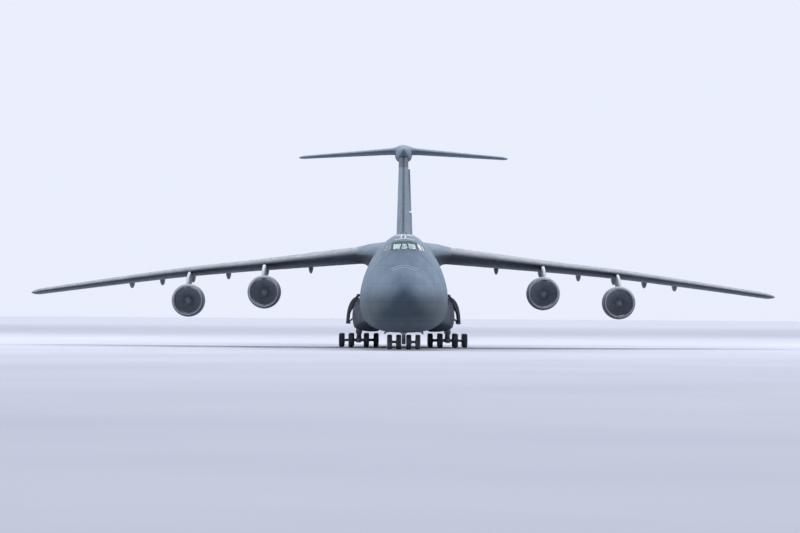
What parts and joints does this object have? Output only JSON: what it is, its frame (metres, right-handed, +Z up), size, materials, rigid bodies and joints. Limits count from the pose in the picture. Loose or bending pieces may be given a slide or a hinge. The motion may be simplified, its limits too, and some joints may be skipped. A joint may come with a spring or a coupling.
{
  "type": "half-size scale model of a strategic military transport plane",
  "caption": "Large grey high-wing cargo jet with upward-opening nose visor, front and rear loading ramps, under-wing engines, T-tail and multi-wheel landing gear.",
  "frame": {"origin": "middle of the bounding box on the ground that the wheels stand on", "axes": "+X to port (the aircraft's left), +Y aft, from the nose towards the tail, +Z up"},
  "size_m": [33.94, 37.655, 9.9148],
  "materials": {
    "grey_paint": "matte",
    "nacelle_paint": "matte",
    "cabin": "matte",
    "ramp_metal": "matte",
    "gear_metal": "satin",
    "fan_metal": "satin",
    "tyre": "matte",
    "glass": "gloss"
  },
  "bodies": {
    "airframe": {"fuselage_forward": "grey_paint", "fuselage_center": "grey_paint", "fuselage_aft": "grey_paint", "flight_deck": "cabin", "windshield": "glass", "wing_left": "grey_paint", "wing_right": "grey_paint", "fin": "grey_paint", "tailplane": "grey_paint", "pylon_1": "grey_paint", "pylon_2": "grey_paint", "pylon_3": "grey_paint", "pylon_4": "grey_paint", "engine_1": "nacelle_paint", "engine_2": "nacelle_paint", "engine_3": "nacelle_paint", "engine_4": "nacelle_paint", "nose_gear_leg": "gear_metal", "main_leg_fore_left": "gear_metal", "main_leg_fore_right": "gear_metal", "main_leg_aft_left": "gear_metal", "main_leg_aft_right": "gear_metal", "gear_pod_left": "grey_paint", "gear_pod_right": "grey_paint", "gear_doors_left": "grey_paint", "gear_doors_right": "grey_paint"},
    "visor": {"visor": "grey_paint"},
    "forward_ramp": {"forward_ramp": "ramp_metal"},
    "aft_ramp": {"aft_ramp": "grey_paint"},
    "aft_center_door": {"aft_center_door": "grey_paint"},
    "aft_side_door_left": {"aft_side_door_left": "grey_paint"},
    "aft_side_door_right": {"aft_side_door_right": "grey_paint"},
    "crew_door": {"crew_door": "grey_paint"},
    "aileron_left": {"aileron_left": "grey_paint"},
    "flap_inboard_left": {"flap_inboard_left": "grey_paint"},
    "flap_outboard_left": {"flap_outboard_left": "grey_paint"},
    "elevator_left": {"elevator_left": "grey_paint"},
    "aileron_right": {"aileron_right": "grey_paint"},
    "flap_inboard_right": {"flap_inboard_right": "grey_paint"},
    "flap_outboard_right": {"flap_outboard_right": "grey_paint"},
    "elevator_right": {"elevator_right": "grey_paint"},
    "rudder_lower": {"rudder_lower": "grey_paint"},
    "rudder_upper": {"rudder_upper": "grey_paint"},
    "fan_1": {"fan_1": "fan_metal"},
    "fan_2": {"fan_2": "fan_metal"},
    "fan_3": {"fan_3": "fan_metal"},
    "fan_4": {"fan_4": "fan_metal"},
    "nose_gear_steering": {"nose_gear_steering": "gear_metal"},
    "nose_wheels_left": {"nose_wheels_left": "tyre"},
    "nose_wheels_right": {"nose_wheels_right": "tyre"},
    "main_pair_fore_left": {"main_pair_fore_left": "tyre"},
    "main_quad_fore_left": {"main_quad_fore_left": "tyre"},
    "main_pair_fore_right": {"main_pair_fore_right": "tyre"},
    "main_quad_fore_right": {"main_quad_fore_right": "tyre"},
    "main_bogie_aft_left": {"main_bogie_aft_left": "gear_metal"},
    "main_pair_aft_left": {"main_pair_aft_left": "tyre"},
    "main_quad_aft_left": {"main_quad_aft_left": "tyre"},
    "main_bogie_aft_right": {"main_bogie_aft_right": "gear_metal"},
    "main_pair_aft_right": {"main_pair_aft_right": "tyre"},
    "main_quad_aft_right": {"main_quad_aft_right": "tyre"}
  },
  "joints": [
    {"name": "visor_hinge", "type": "hinge", "parent": "airframe", "child": "visor", "pos_m": [0, -16.1775, 4.07], "axis": [-1, 0, 0], "range_deg": [0, 100]},
    {"name": "forward_ramp_hinge", "type": "hinge", "parent": "airframe", "child": "forward_ramp", "pos_m": [0, -14.6175, 1.21], "axis": [1, 0, 0], "range_deg": [0, 120]},
    {"name": "aft_ramp_hinge", "type": "hinge", "parent": "airframe", "child": "aft_ramp", "pos_m": [0, 4.9265, 0.745], "axis": [-1, 0, 0], "range_deg": [0, 24]},
    {"name": "aft_center_door_hinge", "type": "hinge", "parent": "airframe", "child": "aft_center_door", "pos_m": [0, 11.8475, 2.805], "axis": [-1, 0, 0], "range_deg": [0, 24]},
    {"name": "aft_side_door_left_hinge", "type": "hinge", "parent": "airframe", "child": "aft_side_door_left", "pos_m": [1.20981, 7.9075, 1.5862], "axis": [0.0936, -0.9537, -0.2857], "range_deg": [0, 75]},
    {"name": "aft_side_door_right_hinge", "type": "hinge", "parent": "airframe", "child": "aft_side_door_right", "pos_m": [-1.20981, 7.9075, 1.5862], "axis": [0.0936, 0.9537, 0.2857], "range_deg": [0, 75]},
    {"name": "crew_door_hinge", "type": "hinge", "parent": "airframe", "child": "crew_door", "pos_m": [1.701, -12.0525, 1.315], "axis": [0, 1, 0], "range_deg": [0, 110]},
    {"name": "aileron_left_hinge", "type": "hinge", "parent": "airframe", "child": "aileron_left", "pos_m": [12.95, 0.95633, 2.89842], "axis": [-0.9315, -0.342, 0.1238], "range_deg": [-25, 15]},
    {"name": "flap_inboard_left_hinge", "type": "hinge", "parent": "airframe", "child": "flap_inboard_left", "pos_m": [2.15, -2.45801, 3.37804], "axis": [-0.9724, -0.2239, 0.0656], "range_deg": [0, 40]},
    {"name": "flap_outboard_left_hinge", "type": "hinge", "parent": "airframe", "child": "flap_outboard_left", "pos_m": [6.975, -1.32254, 3.05347], "axis": [-0.9341, -0.3465, 0.0853], "range_deg": [0, 40]},
    {"name": "elevator_left_hinge", "type": "hinge", "parent": "airframe", "child": "elevator_left", "pos_m": [0.7, 16.233, 9.55327], "axis": [-0.9583, -0.2813, 0.0503], "range_deg": [-25, 15]},
    {"name": "aileron_right_hinge", "type": "hinge", "parent": "airframe", "child": "aileron_right", "pos_m": [-12.95, 0.95633, 2.89842], "axis": [-0.9315, 0.342, -0.1238], "range_deg": [-25, 15]},
    {"name": "flap_inboard_right_hinge", "type": "hinge", "parent": "airframe", "child": "flap_inboard_right", "pos_m": [-2.15, -2.45801, 3.37804], "axis": [-0.9724, 0.2239, -0.0656], "range_deg": [0, 40]},
    {"name": "flap_outboard_right_hinge", "type": "hinge", "parent": "airframe", "child": "flap_outboard_right", "pos_m": [-6.975, -1.32254, 3.05347], "axis": [-0.9341, 0.3465, -0.0853], "range_deg": [0, 40]},
    {"name": "elevator_right_hinge", "type": "hinge", "parent": "airframe", "child": "elevator_right", "pos_m": [-0.7, 16.233, 9.55327], "axis": [-0.9583, 0.2813, -0.0503], "range_deg": [-25, 15]},
    {"name": "rudder_lower_hinge", "type": "hinge", "parent": "airframe", "child": "rudder_lower", "pos_m": [0, 13.17166, 5.31], "axis": [0, 0.5681, 0.823], "range_deg": [-15, 55]},
    {"name": "rudder_upper_hinge", "type": "hinge", "parent": "airframe", "child": "rudder_upper", "pos_m": [0, 14.04837, 6.58], "axis": [0, 0.5681, 0.823], "range_deg": [-16, 54]},
    {"name": "fan_1_spin", "type": "hinge", "parent": "airframe", "child": "fan_1", "pos_m": [9.44, -5.4275, 2.025], "axis": [0, 1, 0], "continuous": true},
    {"name": "fan_2_spin", "type": "hinge", "parent": "airframe", "child": "fan_2", "pos_m": [6.045, -7.2275, 2.4], "axis": [0, 1, 0], "continuous": true},
    {"name": "fan_3_spin", "type": "hinge", "parent": "airframe", "child": "fan_3", "pos_m": [-6.045, -7.2275, 2.4], "axis": [0, 1, 0], "continuous": true},
    {"name": "fan_4_spin", "type": "hinge", "parent": "airframe", "child": "fan_4", "pos_m": [-9.44, -5.4275, 2.025], "axis": [0, 1, 0], "continuous": true},
    {"name": "nose_gear_steer", "type": "hinge", "parent": "airframe", "child": "nose_gear_steering", "pos_m": [0, -13.2775, 0.31125], "axis": [0, 0, 1], "range_deg": [-60, 60]},
    {"name": "nose_wheels_left_spin", "type": "hinge", "parent": "nose_gear_steering", "child": "nose_wheels_left", "pos_m": [0.4, -13.2775, 0.31125], "axis": [1, 0, 0], "continuous": true},
    {"name": "nose_wheels_right_spin", "type": "hinge", "parent": "nose_gear_steering", "child": "nose_wheels_right", "pos_m": [-0.4, -13.2775, 0.31125], "axis": [1, 0, 0], "continuous": true},
    {"name": "main_pair_fore_left_spin", "type": "hinge", "parent": "airframe", "child": "main_pair_fore_left", "pos_m": [1.9785, -4.0275, 0.31125], "axis": [1, 0, 0], "continuous": true},
    {"name": "main_quad_fore_left_spin", "type": "hinge", "parent": "airframe", "child": "main_quad_fore_left", "pos_m": [1.9785, -3.202, 0.31125], "axis": [1, 0, 0], "continuous": true},
    {"name": "main_pair_fore_right_spin", "type": "hinge", "parent": "airframe", "child": "main_pair_fore_right", "pos_m": [-1.9785, -4.0275, 0.31125], "axis": [1, 0, 0], "continuous": true},
    {"name": "main_quad_fore_right_spin", "type": "hinge", "parent": "airframe", "child": "main_quad_fore_right", "pos_m": [-1.9785, -3.202, 0.31125], "axis": [1, 0, 0], "continuous": true},
    {"name": "main_bogie_aft_left_swivel", "type": "hinge", "parent": "airframe", "child": "main_bogie_aft_left", "pos_m": [1.9785, -0.7775, 0.31125], "axis": [0, 0, 1], "range_deg": [-20, 20]},
    {"name": "main_pair_aft_left_spin", "type": "hinge", "parent": "main_bogie_aft_left", "child": "main_pair_aft_left", "pos_m": [1.9785, -1.2275, 0.31125], "axis": [1, 0, 0], "continuous": true},
    {"name": "main_quad_aft_left_spin", "type": "hinge", "parent": "main_bogie_aft_left", "child": "main_quad_aft_left", "pos_m": [1.9785, -0.402, 0.31125], "axis": [1, 0, 0], "continuous": true},
    {"name": "main_bogie_aft_right_swivel", "type": "hinge", "parent": "airframe", "child": "main_bogie_aft_right", "pos_m": [-1.9785, -0.7775, 0.31125], "axis": [0, 0, 1], "range_deg": [-20, 20]},
    {"name": "main_pair_aft_right_spin", "type": "hinge", "parent": "main_bogie_aft_right", "child": "main_pair_aft_right", "pos_m": [-1.9785, -1.2275, 0.31125], "axis": [1, 0, 0], "continuous": true},
    {"name": "main_quad_aft_right_spin", "type": "hinge", "parent": "main_bogie_aft_right", "child": "main_quad_aft_right", "pos_m": [-1.9785, -0.402, 0.31125], "axis": [1, 0, 0], "continuous": true}
  ],
  "couplings": [
    {"joint": "forward_ramp_hinge", "follows": "visor_hinge", "ratio": 1.2}
  ]
}
